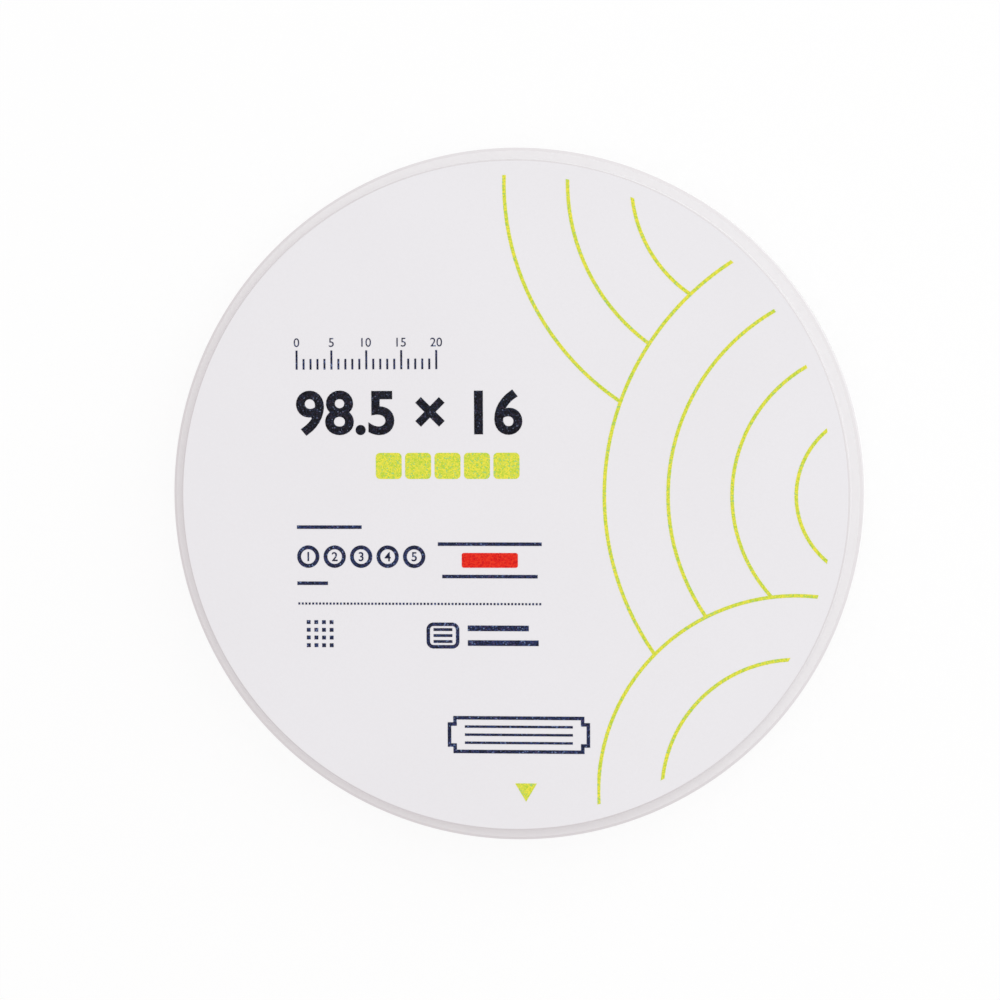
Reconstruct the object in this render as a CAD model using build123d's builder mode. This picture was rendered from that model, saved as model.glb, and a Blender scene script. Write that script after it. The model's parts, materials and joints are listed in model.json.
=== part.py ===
from build123d import *
import os

os.makedirs("parts", exist_ok=True)

# A round blank of pressed, chalk-white ceramic that a dental mill cuts crowns from, with
# print on its upper face. Sizes are in millimetres. The disc rests on its lower face at
# z = 0 and its axis is +Z. Seen from above, the print reads along +X and its top is at +Y.

# The blank: a gripped rim at mid height and a slightly narrower collar above and below it
disc_thickness = 16.0
rim_diameter = 98.5
rim_thickness = 10.0
rim_edge_break = 0.4
collar_diameter = 95.0
collar_edge_break = 0.2

# The ink, and the clear bands that it keeps at the edge of the face and round the column
ink_thickness = 0.03
print_margin = 2.0
quiet_gap = 1.0

# Overlapping fans of rings that fill the right half, drawn from the back one to the front
fan_line_width = 0.5
fan_ring_pitch = 9.0
upper_fan_centre = (36.0, 44.0)
upper_fan_radius = 37.0
middle_fan_centre = (52.0, 0.0)
middle_fan_radius = 39.0
lower_fan_centre = (40.0, -42.0)
lower_fan_radius = 28.0

# The column of small marks on the left half
column_left = -30.9
column_width = 35.0
thin_bar_height = 0.5
bold_bar_height = 0.8

# A scale in millimetres at the head of the column
scale_foot = 18.0
scale_length = 20.0
tick_pitch = 1.0
tick_width = 0.28
tick_height = 1.5
long_tick_height = 2.7
ticks_to_a_long_one = 5

# A row of shade squares under the heading's place, ending where the heading ends
heading_right = 1.0
square_count = 5
square_side = 3.7
square_gap = 0.5
square_corner = 0.6
square_row_middle = 4.3

# A row of rings between a label bar and a unit bar
ring_count = 5
ring_diameter = 3.2
ring_gap = 0.6
ring_stroke = 0.55
ring_row_middle = -8.6
label_bar_length = 9.3
label_bar_middle = -4.4
unit_bar_length = 4.4
unit_bar_middle = -12.4

# A red bar between two thin bars, ending where the column ends
note_top_middle = -6.8
note_top_length = 14.8
note_foot_middle = -11.4
note_foot_length = 13.6
red_bar_length = 8.0
red_bar_height = 2.1
red_bar_corner = 0.3

# A dotted rule across the column
rule_middle = -15.3
dot_pitch = 0.5
dot_length = 0.28
dot_height = 0.3

# A block of small squares below the rule, each as far from the next as it is wide
block_left = -29.6
block_middle = -19.6
block_columns = 4
block_rows = 4
block_square = 0.55

# An icon of stacked layers with two caption bars beside it
icon_left = -12.4
icon_width = 4.7
icon_height = 3.7
icon_corner = 1.0
icon_stroke = 0.5
icon_middle = -19.8
layer_count = 3
layer_length = 2.7
layer_pitch = 0.85
layer_height = 0.4
caption_gap = 1.2
caption_pitch = 2.1
upper_caption_length = 8.7
lower_caption_length = 10.1

# A small outline of the disc seen from the side, with its layers
side_view_middle_x = 0.7
side_view_to_mark = 4.25
side_view_width = 19.8
side_view_height = 4.8
side_view_step = 0.9
side_view_lip = 0.8
side_view_stroke = 0.5
side_layer_count = 3
side_layer_pitch = 1.15
side_layer_height = 0.35
side_layer_inset = 2.2

# A triangle at the foot that marks which way round the disc is clamped
mark_middle_x = 1.7
mark_to_print_edge = 1.9
mark_width = 3.1
mark_height = 2.6

rim_radius = rim_diameter / 2
collar_radius = collar_diameter / 2
rim_foot = (disc_thickness - rim_thickness) / 2
rim_head = rim_foot + rim_thickness
print_radius = collar_radius - collar_edge_break - print_margin
print_plane = Plane.XY.offset(disc_thickness)
column_right = column_left + column_width
mark_tip = mark_to_print_edge - print_radius
mark_top = mark_tip + mark_height
side_view_foot = mark_top + side_view_to_mark
side_view_middle = side_view_foot + (side_view_stroke + side_view_height) / 2
side_view_top = side_view_middle + (side_view_height + side_view_stroke) / 2
side_view_right = side_view_middle_x + (side_view_width + side_view_stroke) / 2


# The blank is one turned piece: half its section, spun about its axis
with BuildPart() as disc_blank:
    with BuildSketch(Plane.XZ):
        with BuildLine():
            Polyline(
                (0, 0),
                (collar_radius, 0),
                (collar_radius, rim_foot),
                (rim_radius, rim_foot),
                (rim_radius, rim_head),
                (collar_radius, rim_head),
                (collar_radius, disc_thickness),
                (0, disc_thickness),
                close=True,
            )
        make_face()
    revolve(axis=Axis.Z)
    rim_edges = disc_blank.edges().filter_by(GeomType.CIRCLE).group_by(SortBy.RADIUS)[-1]
    chamfer(rim_edges, length=rim_edge_break)
    end_faces = disc_blank.faces().filter_by(Axis.Z).group_by(Axis.Z)
    collar_edges = end_faces[0].edges() + end_faces[-1].edges()
    chamfer(collar_edges, length=collar_edge_break)

disc_blank.part.label = "disc_blank"
export_step(disc_blank.part, "parts/disc_blank.step")


# Each fan is a set of rings about one centre. Drawn from its largest ring inwards, it
# covers the fans behind it, and the quiet boxes keep it off the column and the side view.
fans = [
    (upper_fan_centre, upper_fan_radius),
    (middle_fan_centre, middle_fan_radius),
    (lower_fan_centre, lower_fan_radius),
]
quiet_corners = [
    (column_right + quiet_gap, scale_foot + long_tick_height + quiet_gap),
    (side_view_right + quiet_gap, side_view_top + quiet_gap),
]

with BuildPart() as print_wave_lines:
    with BuildSketch(print_plane):
        for centre, radius in fans:
            with Locations(centre):
                for ring in range(int(radius / fan_ring_pitch)):
                    ring_radius = radius - ring * fan_ring_pitch
                    Circle(ring_radius + fan_line_width / 2)
                    Circle(ring_radius - fan_line_width / 2, mode=Mode.SUBTRACT)
        for corner in quiet_corners:
            with Locations(corner):
                Rectangle(rim_diameter, rim_diameter, align=(Align.MAX, Align.MAX), mode=Mode.SUBTRACT)
        Circle(print_radius, mode=Mode.INTERSECT)
    extrude(amount=ink_thickness)

print_wave_lines.part.label = "print_wave_lines"
export_step(print_wave_lines.part, "parts/print_wave_lines.step")


tick_count = round(scale_length / tick_pitch) + 1

with BuildPart() as print_scale:
    with BuildSketch(print_plane):
        for tick in range(tick_count):
            is_long = tick % ticks_to_a_long_one == 0
            with Locations((column_left + tick * tick_pitch, scale_foot)):
                Rectangle(
                    tick_width,
                    long_tick_height if is_long else tick_height,
                    align=(Align.MIN, Align.MIN),
                )
        Circle(print_radius, mode=Mode.INTERSECT)
    extrude(amount=ink_thickness)

print_scale.part.label = "print_scale"
export_step(print_scale.part, "parts/print_scale.step")


square_pitch = square_side + square_gap
square_row_length = square_count * square_pitch - square_gap

with BuildPart() as print_shade_squares:
    with BuildSketch(print_plane):
        with Locations((heading_right - square_row_length / 2, square_row_middle)):
            with GridLocations(square_pitch, 0, square_count, 1):
                RectangleRounded(square_side, square_side, square_corner)
        Circle(print_radius, mode=Mode.INTERSECT)
    extrude(amount=ink_thickness)

print_shade_squares.part.label = "print_shade_squares"
export_step(print_shade_squares.part, "parts/print_shade_squares.step")


ring_pitch = ring_diameter + ring_gap
ring_row_length = ring_count * ring_pitch - ring_gap

with BuildPart() as print_ring_row:
    with BuildSketch(print_plane):
        with Locations((column_left + ring_row_length / 2, ring_row_middle)):
            with GridLocations(ring_pitch, 0, ring_count, 1):
                Circle(ring_diameter / 2)
                Circle(ring_diameter / 2 - ring_stroke, mode=Mode.SUBTRACT)
        Circle(print_radius, mode=Mode.INTERSECT)
    extrude(amount=ink_thickness)

print_ring_row.part.label = "print_ring_row"
export_step(print_ring_row.part, "parts/print_ring_row.step")


# Where lines of small print stand, plain bars of the same length take their place
note_centre_x = column_right - note_top_length / 2
red_bar_middle = (note_top_middle + note_foot_middle) / 2
caption_left = icon_left + icon_width + caption_gap

with BuildPart() as print_text_bars:
    with BuildSketch(print_plane):
        for left, middle, length, height in [
            (column_left, label_bar_middle, label_bar_length, thin_bar_height),
            (column_left, unit_bar_middle, unit_bar_length, thin_bar_height),
            (caption_left, icon_middle + caption_pitch / 2, upper_caption_length, bold_bar_height),
            (caption_left, icon_middle - caption_pitch / 2, lower_caption_length, bold_bar_height),
        ]:
            with Locations((left, middle)):
                Rectangle(length, height, align=(Align.MIN, Align.CENTER))
        for middle, length in [
            (note_top_middle, note_top_length),
            (note_foot_middle, note_foot_length),
        ]:
            with Locations((note_centre_x, middle)):
                Rectangle(length, thin_bar_height)
        Circle(print_radius, mode=Mode.INTERSECT)
    extrude(amount=ink_thickness)

print_text_bars.part.label = "print_text_bars"
export_step(print_text_bars.part, "parts/print_text_bars.step")


with BuildPart() as print_red_bar:
    with BuildSketch(print_plane):
        with Locations((note_centre_x, red_bar_middle)):
            RectangleRounded(red_bar_length, red_bar_height, red_bar_corner)
        Circle(print_radius, mode=Mode.INTERSECT)
    extrude(amount=ink_thickness)

print_red_bar.part.label = "print_red_bar"
export_step(print_red_bar.part, "parts/print_red_bar.step")


dot_count = int(column_width / dot_pitch)

with BuildPart() as print_dotted_rule:
    with BuildSketch(print_plane):
        with Locations((column_left + column_width / 2, rule_middle)):
            with GridLocations(dot_pitch, 0, dot_count, 1):
                Rectangle(dot_length, dot_height)
        Circle(print_radius, mode=Mode.INTERSECT)
    extrude(amount=ink_thickness)

print_dotted_rule.part.label = "print_dotted_rule"
export_step(print_dotted_rule.part, "parts/print_dotted_rule.step")


block_pitch = 2 * block_square
block_width = block_columns * block_pitch - block_square

with BuildPart() as print_square_block:
    with BuildSketch(print_plane):
        with Locations((block_left + block_width / 2, block_middle)):
            with GridLocations(block_pitch, block_pitch, block_columns, block_rows):
                Rectangle(block_square, block_square)
        Circle(print_radius, mode=Mode.INTERSECT)
    extrude(amount=ink_thickness)

print_square_block.part.label = "print_square_block"
export_step(print_square_block.part, "parts/print_square_block.step")


with BuildPart() as print_layer_icon:
    with BuildSketch(print_plane):
        with Locations((icon_left + icon_width / 2, icon_middle)):
            RectangleRounded(icon_width, icon_height, icon_corner)
            RectangleRounded(
                icon_width - 2 * icon_stroke,
                icon_height - 2 * icon_stroke,
                icon_corner - icon_stroke,
                mode=Mode.SUBTRACT,
            )
            with GridLocations(0, layer_pitch, 1, layer_count):
                Rectangle(layer_length, layer_height)
        Circle(print_radius, mode=Mode.INTERSECT)
    extrude(amount=ink_thickness)

print_layer_icon.part.label = "print_layer_icon"
export_step(print_layer_icon.part, "parts/print_layer_icon.step")


# The side view is the blank's own stepped outline, drawn small: its rim is wider and
# lower than its body, so two rectangles make it and a smaller pair leaves the line
with BuildPart() as print_side_view:
    with BuildSketch(print_plane):
        with Locations((side_view_middle_x, side_view_middle)):
            for mode, line_side in [(Mode.ADD, 1), (Mode.SUBTRACT, -1)]:
                grow = line_side * side_view_stroke
                Rectangle(side_view_width + grow, side_view_height - 2 * side_view_step + grow, mode=mode)
                Rectangle(side_view_width - 2 * side_view_lip + grow, side_view_height + grow, mode=mode)
            with GridLocations(0, side_layer_pitch, 1, side_layer_count):
                Rectangle(side_view_width - 2 * side_layer_inset, side_layer_height)
        Circle(print_radius, mode=Mode.INTERSECT)
    extrude(amount=ink_thickness)

print_side_view.part.label = "print_side_view"
export_step(print_side_view.part, "parts/print_side_view.step")


with BuildPart() as print_direction_mark:
    with BuildSketch(print_plane):
        with BuildLine():
            Polyline(
                (mark_middle_x - mark_width / 2, mark_top),
                (mark_middle_x, mark_tip),
                (mark_middle_x + mark_width / 2, mark_top),
                close=True,
            )
        make_face()
        Circle(print_radius, mode=Mode.INTERSECT)
    extrude(amount=ink_thickness)

print_direction_mark.part.label = "print_direction_mark"
export_step(print_direction_mark.part, "parts/print_direction_mark.step")
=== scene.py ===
import json
import logging
import math
from collections.abc import Iterable
from dataclasses import dataclass, field
from enum import Enum

import bpy
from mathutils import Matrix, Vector


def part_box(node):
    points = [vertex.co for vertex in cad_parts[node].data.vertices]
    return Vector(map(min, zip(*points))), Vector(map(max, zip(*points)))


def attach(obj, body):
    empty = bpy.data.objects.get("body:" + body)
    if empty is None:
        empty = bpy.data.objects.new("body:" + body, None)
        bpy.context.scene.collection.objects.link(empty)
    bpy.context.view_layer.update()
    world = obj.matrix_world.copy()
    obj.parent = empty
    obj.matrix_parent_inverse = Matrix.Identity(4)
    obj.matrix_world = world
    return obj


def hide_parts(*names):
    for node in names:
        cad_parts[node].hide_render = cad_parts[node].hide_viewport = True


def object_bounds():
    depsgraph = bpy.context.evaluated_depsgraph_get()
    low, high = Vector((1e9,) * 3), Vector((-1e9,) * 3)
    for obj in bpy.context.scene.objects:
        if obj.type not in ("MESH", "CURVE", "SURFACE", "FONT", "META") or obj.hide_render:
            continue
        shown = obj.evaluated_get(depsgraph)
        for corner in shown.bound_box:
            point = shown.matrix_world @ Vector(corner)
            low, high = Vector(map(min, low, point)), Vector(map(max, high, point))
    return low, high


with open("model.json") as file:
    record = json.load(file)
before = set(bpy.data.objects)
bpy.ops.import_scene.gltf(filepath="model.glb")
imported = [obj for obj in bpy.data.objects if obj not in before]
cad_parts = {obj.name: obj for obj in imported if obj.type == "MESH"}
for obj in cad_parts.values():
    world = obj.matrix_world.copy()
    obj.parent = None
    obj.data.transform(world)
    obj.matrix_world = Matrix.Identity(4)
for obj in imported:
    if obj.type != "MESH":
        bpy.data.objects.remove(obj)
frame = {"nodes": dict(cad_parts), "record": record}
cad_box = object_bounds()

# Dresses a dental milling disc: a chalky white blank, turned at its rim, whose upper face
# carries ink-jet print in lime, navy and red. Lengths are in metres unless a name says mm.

MM = 0.001
BODY = "root"
BLANK_NODE = "disc_blank"

# How a screen turns the light of one channel into the number it shows.
FULL_CHANNEL = 255.0
STRAIGHT_END = 0.04045
STRAIGHT_SLOPE = 12.92
CURVE_OFFSET = 0.055
CURVE_SCALE = 1.055
CURVE_POWER = 2.4

# A Mix node's sockets for colours have no names of their own.
MIX_FACTOR = 0
MIX_FIRST_COLOUR = 6
MIX_SECOND_COLOUR = 7
MIX_COLOUR_RESULT = 2

# A relief's heights are lengths, so its Bump node doesn't stretch them.
BUMP_DISTANCE = 1.0

# A noise swings from 0 to 1 about this value.
NOISE_MIDDLE = 0.5

# Directions on a section, in degrees from the outward one.
INWARDS = 180.0
DOWNWARDS = 270.0
QUARTER_TURN = 90.0

Colour = tuple[float, float, float]
Point = tuple[float, float]

WHITE: Colour = (1.0, 1.0, 1.0)

log = logging.getLogger("milling_disc")


def linear(red: float, green: float, blue: float) -> Colour:
    """Turn a colour as a screen shows it into the linear one that a shader takes.

    Args:
        red: Red, from 0 to 255.
        green: Green, from 0 to 255.
        blue: Blue, from 0 to 255.

    Returns:
        The three linear channels, from 0 to 1.
    """
    def channel(value: float) -> float:
        """Turn one channel into linear light.

        Args:
            value: The channel, from 0 to 255.

        Returns:
            The same channel, from 0 to 1.
        """
        share = value / FULL_CHANNEL
        if share <= STRAIGHT_END:
            return share / STRAIGHT_SLOPE
        return ((share + CURVE_OFFSET) / CURVE_SCALE) ** CURVE_POWER

    return channel(red), channel(green), channel(blue)


def opaque(colour: Colour) -> tuple[float, float, float, float]:
    """Return a colour with an alpha of 1, as sockets take it."""
    return (*colour, 1.0)


class Signal:
    """A number that runs through a material's nodes, on which Python's operators work."""

    def __init__(self, nodes: "NodeMaker", socket: bpy.types.NodeSocket) -> None:
        """Wrap an output socket.

        Args:
            nodes: The maker that adds the nodes of each further step.
            socket: The output socket that carries the number.
        """
        self.nodes = nodes
        self.socket = socket

    def _math(self, operation: str, *terms: "Signal | float", clamp: bool = False) -> "Signal":
        """Add one Math node.

        Args:
            operation: The node's operation, by Blender's name for it.
            *terms: What goes into its sockets, in order.
            clamp: Whether the result is kept between 0 and 1.

        Returns:
            The node's result.
        """
        settings = {"operation": operation, "use_clamp": clamp}
        node = self.nodes.add("ShaderNodeMath", settings, dict(enumerate(terms)))
        return Signal(self.nodes, node.outputs[0])

    def __add__(self, other: "Signal | float") -> "Signal":
        """Return the sum."""
        return self._math("ADD", self, other)

    def __radd__(self, other: float) -> "Signal":
        """Return the sum, with a plain number first."""
        return self._math("ADD", other, self)

    def __sub__(self, other: "Signal | float") -> "Signal":
        """Return the difference."""
        return self._math("SUBTRACT", self, other)

    def __rsub__(self, other: float) -> "Signal":
        """Return the difference, with a plain number first."""
        return self._math("SUBTRACT", other, self)

    def __mul__(self, other: "Signal | float") -> "Signal":
        """Return the product."""
        return self._math("MULTIPLY", self, other)

    def __rmul__(self, other: float) -> "Signal":
        """Return the product, with a plain number first."""
        return self._math("MULTIPLY", other, self)

    def __pow__(self, power: float) -> "Signal":
        """Return the number raised to a power."""
        return self._math("POWER", self, power)

    def __gt__(self, other: "Signal | float") -> "Signal":
        """Return 1 where this number is the greater, and 0 elsewhere."""
        return self._math("GREATER_THAN", self, other)

    def __lt__(self, other: "Signal | float") -> "Signal":
        """Return 1 where this number is the smaller, and 0 elsewhere."""
        return self._math("LESS_THAN", self, other)

    def size(self) -> "Signal":
        """Return the number without its sign."""
        return self._math("ABSOLUTE", self)

    def clamped(self) -> "Signal":
        """Return the number kept between 0 and 1."""
        return self._math("ADD", self, 0.0, clamp=True)


class NodeMaker:
    """Adds nodes to one material or world."""

    def __init__(self, tree: bpy.types.NodeTree) -> None:
        """Keep the node tree to add to."""
        self.tree = tree

    def add(
        self,
        kind: str,
        settings: dict[str, object] | None = None,
        sockets: dict[str | int, object] | None = None,
    ) -> bpy.types.Node:
        """Add one node.

        Args:
            kind: The node's type, by Blender's name for it.
            settings: Its settings, set first. A ramp's "stops" are pairs of place and colour.
            sockets: What goes into its inputs, by name or number: values, signals or sockets.

        Returns:
            The new node.
        """
        node = self.tree.nodes.new(kind)
        for name, value in (settings or {}).items():
            if name == "stops":
                self._set_stops(node.color_ramp, value)
            else:
                setattr(node, name, value)
        for key, value in (sockets or {}).items():
            if isinstance(value, Signal):
                self.tree.links.new(value.socket, node.inputs[key])
            elif isinstance(value, bpy.types.NodeSocket):
                self.tree.links.new(value, node.inputs[key])
            else:
                node.inputs[key].default_value = value
        return node

    @staticmethod
    def _set_stops(ramp: bpy.types.ColorRamp, stops: Iterable[tuple[float, Colour]]) -> None:
        """Give a ramp stepped stops.

        Args:
            ramp: The ramp, which starts with two stops of its own.
            stops: Pairs of place and colour, from the lowest place to the highest.
        """
        ramp.interpolation = "CONSTANT"
        for number, (place, colour) in enumerate(stops):
            stop = ramp.elements[number] if number < 2 else ramp.elements.new(place)
            stop.position = place
            stop.color = opaque(colour)

    def signal(
        self,
        kind: str,
        settings: dict[str, object] | None = None,
        sockets: dict[str | int, object] | None = None,
        output: str | int = 0,
    ) -> Signal:
        """Add one node and return one of its outputs as a signal.

        Args:
            kind: The node's type.
            settings: Its settings.
            sockets: What goes into its inputs.
            output: The output to take.

        Returns:
            That output.
        """
        return Signal(self, self.add(kind, settings, sockets).outputs[output])

    def blend(
        self,
        factor: Signal,
        first: Colour | bpy.types.NodeSocket,
        second: Colour,
    ) -> bpy.types.NodeSocket:
        """Mix two colours.

        Args:
            factor: The share of the second colour.
            first: The first colour, or the socket that gives it.
            second: The second colour.

        Returns:
            The mixed colour's socket.
        """
        base = first if isinstance(first, bpy.types.NodeSocket) else opaque(first)
        sockets = {MIX_FACTOR: factor, MIX_FIRST_COLOUR: base, MIX_SECOND_COLOUR: opaque(second)}
        node = self.add("ShaderNodeMix", {"data_type": "RGBA"}, sockets)
        return node.outputs[MIX_COLOUR_RESULT]

    def dress(
        self,
        shader: bpy.types.Node,
        colour: bpy.types.NodeSocket,
        rough: Signal,
        relief: Signal,
    ) -> None:
        """Lead what varies over a surface to its Principled shader.

        Args:
            shader: The shader.
            colour: The colour's socket.
            rough: The roughness, from 0 to 1.
            relief: The height of the surface's fine relief, in metres.
        """
        sockets = {"Height": relief, "Distance": BUMP_DISTANCE}
        bump = self.add("ShaderNodeBump", sockets=sockets)
        self.tree.links.new(colour, shader.inputs["Base Color"])
        self.tree.links.new(rough.socket, shader.inputs["Roughness"])
        self.tree.links.new(bump.outputs["Normal"], shader.inputs["Normal"])


def new_material(name: str) -> tuple[bpy.types.Material, NodeMaker, bpy.types.Node]:
    """Start a material with nothing but a Principled shader and its output.

    Args:
        name: The material's name.

    Returns:
        The material, the maker of its nodes and its Principled shader.
    """
    material = bpy.data.materials.new(name)
    material.use_nodes = True
    nodes = NodeMaker(material.node_tree)
    return material, nodes, material.node_tree.nodes["Principled BSDF"]


@dataclass(frozen=True)
class ChalkCeramic:
    """The finish of pressed, pre-sintered ceramic: matt, dense and very finely grained."""

    collar_radius: float
    rim_flat_radius: float
    colour: Colour = linear(236.5, 235.5, 239)
    cloud_colour: Colour = linear(231.5, 230, 233)
    turned_colour: Colour = linear(235, 233, 234.5)
    # Painted shade: the broken edges of the collars and of the rim take these two darker colours.
    collar_edge_colour: Colour = linear(218, 214.5, 216.5)
    rim_edge_colour: Colour = linear(225, 221.5, 223.5)
    cloud_scale: float = 45.0
    cloud_detail: float = 3.0
    cloud_share: float = 0.7
    grain_scale: float = 2600.0
    grain_detail: float = 2.0
    grain_share: float = 0.5
    tone_shift: float = -0.1
    turning_scale: float = 5200.0
    turning_detail: float = 0.0
    grain_depth: float = 0.006 * MM
    turning_depth: float = 0.003 * MM
    roughness: float = 0.82
    roughness_swing: float = 0.12
    specular: float = 0.25
    steepest: float = 0.1
    flattest: float = 0.95
    margin: float = 0.02 * MM

    def _noise(
        self,
        nodes: NodeMaker,
        place: bpy.types.NodeSocket,
        scale: float,
        detail: float,
    ) -> Signal:
        """Add a noise.

        Args:
            nodes: The maker of the material's nodes.
            place: The coordinates' socket.
            scale: How fine it is.
            detail: How many finer layers it has.

        Returns:
            The noise, from 0 to 1.
        """
        sockets = {"Vector": place, "Scale": scale, "Detail": detail}
        return nodes.signal("ShaderNodeTexNoise", sockets=sockets)

    def _edges(
        self,
        nodes: NodeMaker,
        radius: Signal,
        facing: bpy.types.NodeSocket,
    ) -> tuple[Signal, Signal]:
        """Find the broken edges, whose colour is darkened with painted shade.

        Args:
            nodes: The maker of the material's nodes.
            radius: The distance from the disc's axis.
            facing: The socket of the surface's direction.

        Returns:
            1 on the collars' broken edges and on the rim's, and 0 elsewhere.
        """
        sockets = {"Vector": facing}
        upward = nodes.signal("ShaderNodeSeparateXYZ", sockets=sockets, output="Z").size()
        slanting = (upward > self.steepest) * (upward < self.flattest)
        collar_edge_shading = slanting * (radius < self.collar_radius + self.margin)
        rim_edge_shading = slanting * (radius > self.rim_flat_radius - self.margin)
        return collar_edge_shading, rim_edge_shading

    def material(self) -> bpy.types.Material:
        """Make the ceramic's material.

        Returns:
            A matt white with faint clouds, a fine grain and painted shade on the broken edges.
            The turned collars and rim are a shade warmer than the face and carry turning marks.
        """
        material, nodes, shader = new_material("chalk_ceramic")
        coordinates = nodes.add("ShaderNodeTexCoord").outputs
        place, facing = coordinates["Object"], coordinates["Normal"]
        split = nodes.add("ShaderNodeSeparateXYZ", sockets={"Vector": place})
        across, along, height = (Signal(nodes, output) for output in split.outputs)
        radius = (across * across + along * along) ** 0.5
        clouds = self._noise(nodes, place, self.cloud_scale, self.cloud_detail)
        grain = self._noise(nodes, place, self.grain_scale, self.grain_detail)
        section = nodes.add("ShaderNodeCombineXYZ", sockets={"X": radius, "Y": height}).outputs[0]
        turning = self._noise(nodes, section, self.turning_scale, self.turning_detail)
        turned = radius > self.collar_radius - self.margin

        tone = (clouds * self.cloud_share + grain * self.grain_share + self.tone_shift).clamped()
        collar_edge_shading, rim_edge_shading = self._edges(nodes, radius, facing)
        colour = nodes.blend(tone, self.cloud_colour, self.colour)
        colour = nodes.blend(turned, colour, self.turned_colour)
        # Painted shade darkens the broken edges of the collars and of the rim.
        colour = nodes.blend(collar_edge_shading, colour, self.collar_edge_colour)
        colour = nodes.blend(rim_edge_shading, colour, self.rim_edge_colour)
        rough = self.roughness + (grain - NOISE_MIDDLE) * self.roughness_swing
        relief = grain * self.grain_depth + turning * turned * self.turning_depth
        shader.inputs["Specular IOR Level"].default_value = self.specular
        nodes.dress(shader, colour, rough, relief)
        return material


@dataclass(frozen=True)
class JetInk:
    """The finish of ink-jet print: small dots of a few tints that read as one colour."""

    name: str
    tints: tuple[tuple[float, Colour], ...]
    dot_scale: float = 6000.0
    wobble: float = 0.9
    dot_depth: float = 0.004 * MM
    roughness: float = 0.65
    roughness_swing: float = 0.15
    specular: float = 0.12

    def material(self) -> bpy.types.Material:
        """Make the ink's material.

        Returns:
            Cells of the ink's tints, each picked at random, slightly raised as dots are.
        """
        material, nodes, shader = new_material(self.name)
        place = nodes.add("ShaderNodeTexCoord").outputs["Object"]
        sockets = {"Vector": place, "Scale": self.dot_scale, "Randomness": self.wobble}
        cells = nodes.add("ShaderNodeTexVoronoi", sockets=sockets)
        sockets = {"Color": cells.outputs["Color"]}
        pick = nodes.signal("ShaderNodeSeparateColor", sockets=sockets, output="Red")
        ramp = nodes.add("ShaderNodeValToRGB", {"stops": self.tints}, {"Fac": pick})
        rough = self.roughness + pick * self.roughness_swing
        relief = Signal(nodes, cells.outputs["Distance"]) * -self.dot_depth
        shader.inputs["Specular IOR Level"].default_value = self.specular
        nodes.dress(shader, ramp.outputs["Color"], rough, relief)
        return material


class Ink(Enum):
    """The inks that the face is printed in. NIGHT is the heading's, a near-black navy."""

    LIME = JetInk(
        "lime_ink",
        (
            (0.0, linear(214, 220, 76)),
            (0.40, linear(238, 228, 74)),
            (0.68, linear(186, 212, 66)),
            (0.92, linear(160, 208, 120)),
        ),
    )
    NAVY = JetInk(
        "navy_ink",
        (
            (0.0, linear(34, 40, 70)),
            (0.45, linear(24, 28, 44)),
            (0.68, linear(46, 60, 104)),
            (0.86, linear(70, 62, 100)),
            (0.95, linear(104, 122, 160)),
        ),
    )
    NIGHT = JetInk(
        "night_ink",
        (
            (0.0, linear(28, 28, 36)),
            (0.45, linear(16, 16, 22)),
            (0.70, linear(38, 44, 64)),
            (0.88, linear(56, 46, 62)),
            (0.96, linear(88, 96, 118)),
        ),
    )
    RED = JetInk(
        "red_ink",
        (
            (0.0, linear(226, 36, 26)),
            (0.50, linear(234, 56, 34)),
            (0.80, linear(204, 24, 26)),
        ),
    )


def deselect_all() -> None:
    """Leave nothing selected, so that an operator acts on the new piece alone."""
    bpy.ops.object.select_all(action="DESELECT")


@dataclass(frozen=True)
class BlankSizes:
    """The blank's own sizes, as the frame gives them."""

    rim: float
    collar: float
    foot: float
    lower_ledge: float
    upper_ledge: float
    face: float
    rim_break: float
    collar_break: float

    @property
    def rim_flat(self) -> float:
        """Return the radius where a ledge ends and the rim's broken edge starts."""
        return self.rim - self.rim_break

    @property
    def face_flat(self) -> float:
        """Return the radius where the face ends and the collar's broken edge starts."""
        return self.collar - self.collar_break

    @classmethod
    def from_frame(cls, node: str) -> "BlankSizes":
        """Read the sizes from the record's mounts and the solid's box.

        Args:
            node: The blank's node.

        Returns:
            The sizes. What a mount's length leaves of a band's height is its broken edges.
        """
        mounts = {mount["name"]: mount for mount in frame["record"]["mounts"]}
        low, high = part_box(node)
        rim, collar = mounts["rim"]["dims"], mounts["upper_collar"]["dims"]
        lower_ledge = mounts["lower_ledge"]["pos_m"][2]
        upper_ledge = mounts["upper_ledge"]["pos_m"][2]
        return cls(
            rim=rim["r_mm"] * MM,
            collar=collar["r_mm"] * MM,
            foot=low.z,
            lower_ledge=lower_ledge,
            upper_ledge=upper_ledge,
            face=high.z,
            rim_break=(upper_ledge - lower_ledge - rim["length_mm"] * MM) / 2,
            collar_break=high.z - upper_ledge - collar["length_mm"] * MM,
        )


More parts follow.
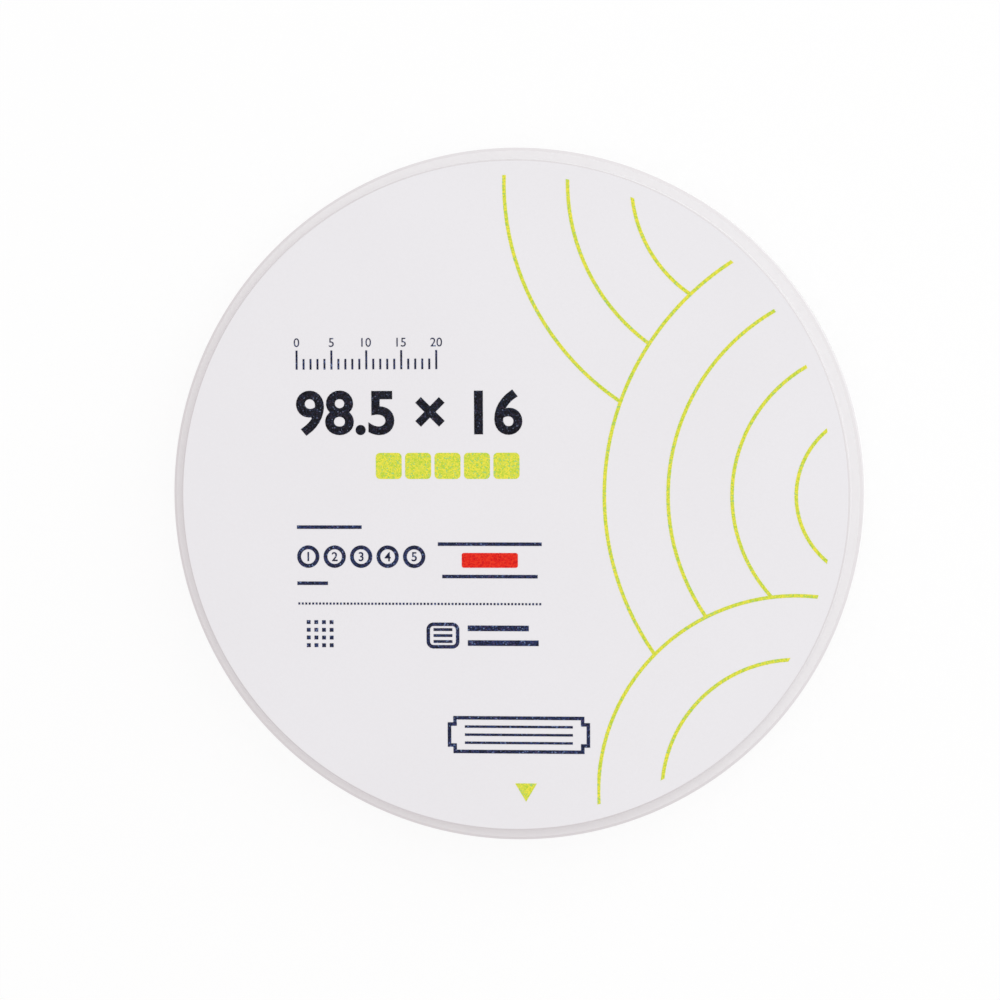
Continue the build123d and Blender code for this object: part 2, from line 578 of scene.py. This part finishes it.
@dataclass
class TurnedBlank:
    """The ceramic blank, turned from its half section and standing for the solid one."""

    node: str
    sizes: BlankSizes
    ceramic: ChalkCeramic
    segments: int = 384
    face_rings: int = 8
    root_steps: int = 5
    root_radius: float = 0.15 * MM
    groove_pitch: float = 0.29 * MM
    groove_depth: float = 0.004 * MM
    seed_size: float = 1.0 * MM
    weld_distance: float = 0.0005 * MM
    crease_degrees: float = 20.0

    def _root(self, centre: Point, start_degrees: float, sweep: float) -> list[Point]:
        """Round the foot of a collar, where it meets its ledge.

        Args:
            centre: The arc's centre, as radius and height.
            start_degrees: Where the arc starts, from the outward direction.
            sweep: How far it runs, in degrees, positive upwards.

        Returns:
            The arc's points, in order.
        """
        points = []
        for step in range(self.root_steps + 1):
            angle = math.radians(start_degrees + sweep * step / self.root_steps)
            aside = self.root_radius * math.cos(angle)
            points.append((centre[0] + aside, centre[1] + self.root_radius * math.sin(angle)))
        return points

    def _ledge(self, inner: float, outer: float, height: float, cut: float) -> list[Point]:
        """Cut fine turned grooves into a ledge.

        Args:
            inner: The ledge's inner radius.
            outer: Its outer radius.
            height: Its height.
            cut: The grooves' depth, which is negative where the ceramic lies above the ledge.

        Returns:
            The ledge's points, from the inside out.
        """
        count = int((outer - inner) / self.groove_pitch)
        pitch = (outer - inner) / count
        points = []
        for groove in range(count):
            start = inner + groove * pitch
            points.append((start, height))
            points.append((start + pitch / 2, height - cut))
        return points + [(outer, height)]

    def half_section(self) -> list[Point]:
        """Work out the blank's section from the axis at its foot round to the axis at its face.

        Returns:
            Points of radius and height, in order.
        """
        size, root = self.sizes, self.root_radius
        ledge_start = size.collar + root
        rings = [size.face_flat * ring / self.face_rings for ring in range(self.face_rings + 1)]
        points = [(radius, size.foot) for radius in rings]
        points.append((size.collar, size.foot + size.collar_break))
        lower_root = self._root((ledge_start, size.lower_ledge - root), INWARDS, -QUARTER_TURN)
        points += lower_root[:-1]
        points += self._ledge(ledge_start, size.rim_flat, size.lower_ledge, -self.groove_depth)
        points.append((size.rim, size.lower_ledge + size.rim_break))
        points.append((size.rim, size.upper_ledge - size.rim_break))
        upper_ledge = self._ledge(ledge_start, size.rim_flat, size.upper_ledge, self.groove_depth)
        points += reversed(upper_ledge)
        upper_root = self._root((ledge_start, size.upper_ledge + root), DOWNWARDS, -QUARTER_TURN)
        points += upper_root[1:]
        points.append((size.collar, size.face - size.collar_break))
        points += [(radius, size.face) for radius in reversed(rings)]
        return points

    def build(self) -> bpy.types.Object:
        """Turn the blank.

        Returns:
            The closed blank, dressed and in place of the plain solid.
        """
        points = self.half_section()
        deselect_all()
        bpy.ops.mesh.primitive_plane_add(size=self.seed_size, location=(0, 0, self.sizes.foot))
        blank = bpy.context.object
        blank.name = "turned_blank"
        bpy.ops.object.transform_apply()
        bpy.ops.object.mode_set(mode="EDIT")
        bpy.ops.mesh.select_all(action="SELECT")
        bpy.ops.mesh.merge(type="CENTER")
        for (radius, height), (next_radius, next_height) in zip(points, points[1:]):
            step = (next_radius - radius, 0, next_height - height)
            bpy.ops.mesh.extrude_vertices_move(TRANSFORM_OT_translate={"value": step})
        bpy.ops.mesh.select_all(action="SELECT")
        bpy.ops.mesh.spin(steps=self.segments, angle=math.tau, center=(0, 0, 0), axis=(0, 0, 1))
        bpy.ops.mesh.select_all(action="SELECT")
        bpy.ops.mesh.remove_doubles(threshold=self.weld_distance)
        bpy.ops.mesh.normals_make_consistent(inside=False)
        bpy.ops.object.mode_set(mode="OBJECT")
        bpy.ops.object.shade_smooth_by_angle(angle=math.radians(self.crease_degrees))
        blank.data.materials.append(self.ceramic.material())
        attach(blank, BODY)
        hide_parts(self.node)
        return blank


@dataclass(frozen=True)
class Numeral:
    """A plain number to print: what it says, where it stands and how bold it is."""

    name: str
    text: str
    foot_mm: Point
    cap_height_mm: float
    weight: float = 0.0
    centred: bool = True
    ink: Ink = Ink.NAVY


@dataclass
class PrintedFace:
    """Everything printed on the face: the films of the frame and the plain numbers."""

    inks: dict[Ink, bpy.types.Material]
    film_node: str = "print_wave_lines"
    curve_steps: int = 6
    heading_foot_mm: float = 8.6
    heading_cap_mm: float = 6.5
    heading_weight: float = 0.026
    scale_length_mm: float = 20.0
    scale_numbers: tuple[int, ...] = (0, 5, 10, 15, 20)
    scale_gap_mm: float = 0.5
    scale_cap_mm: float = 1.25
    ring_count: int = 5
    ring_cap_mm: float = 1.3
    ring_weight: float = 0.012
    films: dict[Ink, tuple[str, ...]] = field(
        default_factory=lambda: {
            Ink.LIME: ("print_wave_lines", "print_shade_squares", "print_direction_mark"),
            Ink.NAVY: (
                "print_scale",
                "print_ring_row",
                "print_text_bars",
                "print_dotted_rule",
                "print_square_block",
                "print_layer_icon",
                "print_side_view",
            ),
            Ink.RED: ("print_red_bar",),
        }
    )

    def dress_films(self) -> None:
        """Give each film of the frame the ink that it is printed in."""
        for ink, nodes in self.films.items():
            for node in nodes:
                for slot in frame["nodes"][node].material_slots:
                    slot.material = self.inks[ink]

    def heading(self) -> list[Numeral]:
        """Print the disc's width and thickness, in millimetres, as the heading.

        Returns:
            The heading, lined up with the column's left edge.
        """
        low, high = cad_box
        left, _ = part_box("print_scale")
        size = f"{round((high.x - low.x) / MM, 1):g} × {(high.z - low.z) / MM:.0f}"
        foot = (left.x / MM, self.heading_foot_mm)
        return [
            Numeral(
                "heading_size",
                size,
                foot,
                self.heading_cap_mm,
                self.heading_weight,
                centred=False,
                ink=Ink.NIGHT,
            )
        ]

    def scale_marks(self) -> list[Numeral]:
        """Number the long ticks of the scale.

        Returns:
            The numbers, each above its tick.
        """
        low, high = (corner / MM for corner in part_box("print_scale"))
        start = (low.x + high.x - self.scale_length_mm) / 2
        return [
            Numeral(
                f"scale_number_{value}",
                str(value),
                (start + value, high.y + self.scale_gap_mm),
                self.scale_cap_mm,
            )
            for value in self.scale_numbers
        ]

    def ring_marks(self) -> list[Numeral]:
        """Number the rings of the row from 1 on.

        Returns:
            The numbers, each in the middle of its ring.
        """
        low, high = (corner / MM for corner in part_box("print_ring_row"))
        ring = high.y - low.y
        pitch = (high.x - low.x - ring) / (self.ring_count - 1)
        foot = (low.y + high.y - self.ring_cap_mm) / 2
        return [
            Numeral(
                f"ring_number_{number + 1}",
                str(number + 1),
                (low.x + ring / 2 + number * pitch, foot),
                self.ring_cap_mm,
                self.ring_weight,
            )
            for number in range(self.ring_count)
        ]

    def print_number(self, numeral: Numeral) -> bpy.types.Object:
        """Print one number as a thin film on the face.

        Args:
            numeral: What to print and where.

        Returns:
            The film, closed, dressed and riding the disc.
        """
        low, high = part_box(self.film_node)
        deselect_all()
        bpy.ops.object.text_add()
        text = bpy.context.object
        text.data.body = numeral.text
        text.data.offset = numeral.weight
        text.data.resolution_u = self.curve_steps
        bpy.ops.object.convert(target="MESH")
        film = bpy.context.object
        film.name = numeral.name
        corners = [Vector(corner) for corner in film.bound_box]
        least = Vector(map(min, zip(*corners)))
        most = Vector(map(max, zip(*corners)))
        scale = numeral.cap_height_mm * MM / (most.y - least.y)
        left = (most.x + least.x) / 2 if numeral.centred else least.x
        film.scale = (scale, scale, 1.0)
        film.location = (
            numeral.foot_mm[0] * MM - left * scale,
            numeral.foot_mm[1] * MM - least.y * scale,
            low.z,
        )
        bpy.ops.object.transform_apply()
        bpy.ops.object.modifier_add(type="SOLIDIFY")
        solidify = film.modifiers[-1]
        solidify.thickness = high.z - low.z
        solidify.offset = 1.0
        bpy.ops.object.modifier_apply(modifier=solidify.name)
        film.data.materials.append(self.inks[numeral.ink])
        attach(film, BODY)
        return film

    def build(self) -> list[bpy.types.Object]:
        """Dress the films and print the numbers.

        Returns:
            The numbers' films.
        """
        self.dress_films()
        numerals = self.heading() + self.scale_marks() + self.ring_marks()
        return [self.print_number(numeral) for numeral in numerals]


@dataclass(frozen=True)
class SoftLamp:
    """A large round lamp or white card that lights the disc from one side."""

    name: str
    level: float
    azimuth_degrees: float
    elevation_degrees: float
    distance: float
    size: float
    colour: Colour = (0.9, 1.0, 0.99)

    def build(self) -> bpy.types.Object:
        """Hang the lamp and turn it to the disc.

        Returns:
            The lamp, strong enough to give a level face its level of light.
        """
        azimuth = math.radians(self.azimuth_degrees)
        elevation = math.radians(self.elevation_degrees)
        aim = Vector((
            math.cos(azimuth) * math.cos(elevation),
            math.sin(azimuth) * math.cos(elevation),
            math.sin(elevation),
        ))
        deselect_all()
        bpy.ops.object.light_add(type="AREA", location=aim * self.distance)
        lamp = bpy.context.object
        lamp.name = self.name
        lamp.data.shape = "DISK"
        lamp.data.size = self.size
        lamp.data.color = self.colour
        spread = math.pi * self.distance
        lamp.data.energy = self.level * spread * spread / math.sin(elevation)
        lamp.rotation_euler = aim.to_track_quat("Z", "Y").to_euler()
        return lamp


@dataclass
class Studio:
    """A white floor under a soft, faintly warm dome, with a cooler lamp and a card beside it."""

    floor_size: float = 6.0
    floor_colour: Colour = (0.96, 0.96, 0.96)
    floor_roughness: float = 0.9
    floor_specular: float = 0.1
    floor_white_share: float = 0.85
    dome_level: float = 0.846
    dome_colour: Colour = (1.0, 0.966, 0.967)
    lamps: tuple[SoftLamp, ...] = (
        SoftLamp(
            name="key_lamp",
            level=0.179,
            azimuth_degrees=40.0,
            elevation_degrees=58.0,
            distance=1.3,
            size=1.2,
        ),
        SoftLamp(
            name="side_card",
            level=0.034,
            azimuth_degrees=40.0,
            elevation_degrees=18.0,
            distance=1.0,
            size=0.5,
        ),
    )

    def build_floor(self) -> bpy.types.Object:
        """Lay the floor, which shows white and keeps the disc's shadow faintly.

        Returns:
            The floor.
        """
        deselect_all()
        low, _ = cad_box
        bpy.ops.mesh.primitive_plane_add(size=self.floor_size, location=(0, 0, low.z))
        floor = bpy.context.object
        floor.name = "studio_floor"
        bpy.ops.object.transform_apply()
        material, nodes, shader = new_material("studio_floor")
        shader.inputs["Base Color"].default_value = opaque(self.floor_colour)
        shader.inputs["Roughness"].default_value = self.floor_roughness
        shader.inputs["Specular IOR Level"].default_value = self.floor_specular
        white = nodes.add("ShaderNodeEmission", sockets={"Strength": 1.0})
        rays = nodes.add("ShaderNodeLightPath").outputs
        seen = Signal(nodes, rays["Is Camera Ray"]) + Signal(nodes, rays["Is Glossy Ray"])
        seen = (seen + Signal(nodes, rays["Is Transmission Ray"])).clamped()
        share = seen * self.floor_white_share
        sockets = {0: share, 1: shader.outputs[0], 2: white.outputs[0]}
        mixed = nodes.add("ShaderNodeMixShader", sockets=sockets)
        output = material.node_tree.nodes["Material Output"]
        material.node_tree.links.new(mixed.outputs[0], output.inputs["Surface"])
        floor.data.materials.append(material)
        return floor

    def build_dome(self) -> bpy.types.World:
        """Light the scene evenly from all round, with a white background.

        Returns:
            The world.
        """
        world = bpy.data.worlds.new("studio_dome")
        bpy.context.scene.world = world
        world.use_nodes = True
        nodes = NodeMaker(world.node_tree)
        dome = world.node_tree.nodes["Background"]
        dome.inputs["Color"].default_value = opaque(self.dome_colour)
        dome.inputs["Strength"].default_value = self.dome_level
        white = nodes.add("ShaderNodeBackground", sockets={"Color": opaque(WHITE)})
        rays = nodes.add("ShaderNodeLightPath").outputs
        sockets = {0: rays["Is Camera Ray"], 1: dome.outputs[0], 2: white.outputs[0]}
        mixed = nodes.add("ShaderNodeMixShader", sockets=sockets)
        output = world.node_tree.nodes["World Output"]
        world.node_tree.links.new(mixed.outputs[0], output.inputs["Surface"])
        return world

    def build(self) -> None:
        """Set up the floor, the dome and the lamps."""
        self.build_floor()
        self.build_dome()
        for lamp in self.lamps:
            lamp.build()
        bpy.context.scene.view_settings.view_transform = "Standard"


@dataclass
class PhotoCamera:
    """The camera that took the picture: nearly overhead, leaning a little to the right."""

    picture_width: float = 1000.0
    sensor_width_mm: float = 36.0
    distance: float = 0.540
    lean_degrees: float = 6.8
    lean_direction: Point = (0.913, 0.408)
    pixels_per_mm: float = 7.073
    face_centre_px: Point = (512.7, 496.2)

    def build(self) -> bpy.types.Object:
        """Place the camera and make it the scene's own.

        Returns:
            The camera.
        """
        _, high = cad_box
        face = Vector((0, 0, high.z))
        lean = math.radians(self.lean_degrees)
        aside = math.sin(lean)
        back = Vector((
            aside * self.lean_direction[0],
            aside * self.lean_direction[1],
            math.cos(lean),
        ))
        focal_px = self.pixels_per_mm * self.distance / MM
        deselect_all()
        bpy.ops.object.camera_add(location=face + back * self.distance)
        camera = bpy.context.object
        camera.name = "photo_camera"
        camera.data.sensor_width = self.sensor_width_mm
        camera.data.lens = focal_px * self.sensor_width_mm / self.picture_width
        middle = self.picture_width / 2
        off_right = (self.face_centre_px[0] - middle) / self.pixels_per_mm * MM
        off_up = (middle - self.face_centre_px[1]) / self.pixels_per_mm * MM
        aim = face - Vector((off_right, off_up, 0))
        looking = (camera.location - aim).normalized()
        rows = Vector((1, 0, 0))
        right = (rows - looking * rows.dot(looking)).normalized()
        up = looking.cross(right)
        camera.matrix_world = (
            (right.x, right.y, right.z, 0),
            (up.x, up.y, up.z, 0),
            (looking.x, looking.y, looking.z, 0),
            (*camera.location, 1),
        )
        bpy.context.scene.camera = camera
        return camera


def main() -> None:
    """Build the blank, its print, the studio and the camera, and report each piece."""
    logging.basicConfig(level=logging.INFO, format="%(name)s: %(message)s")
    sizes = BlankSizes.from_frame(BLANK_NODE)
    ceramic = ChalkCeramic(sizes.collar, sizes.rim_flat)
    blank = TurnedBlank(BLANK_NODE, sizes, ceramic).build()
    log.info("%s has %d faces", blank.name, len(blank.data.polygons))
    inks = {ink: ink.value.material() for ink in Ink}
    for film in PrintedFace(inks).build():
        log.info("%s has %d faces", film.name, len(film.data.polygons))
    Studio().build()
    camera = PhotoCamera().build()
    log.info("%s has a lens of %.1f mm", camera.name, camera.data.lens)


if __name__ == "__main__":
    main()
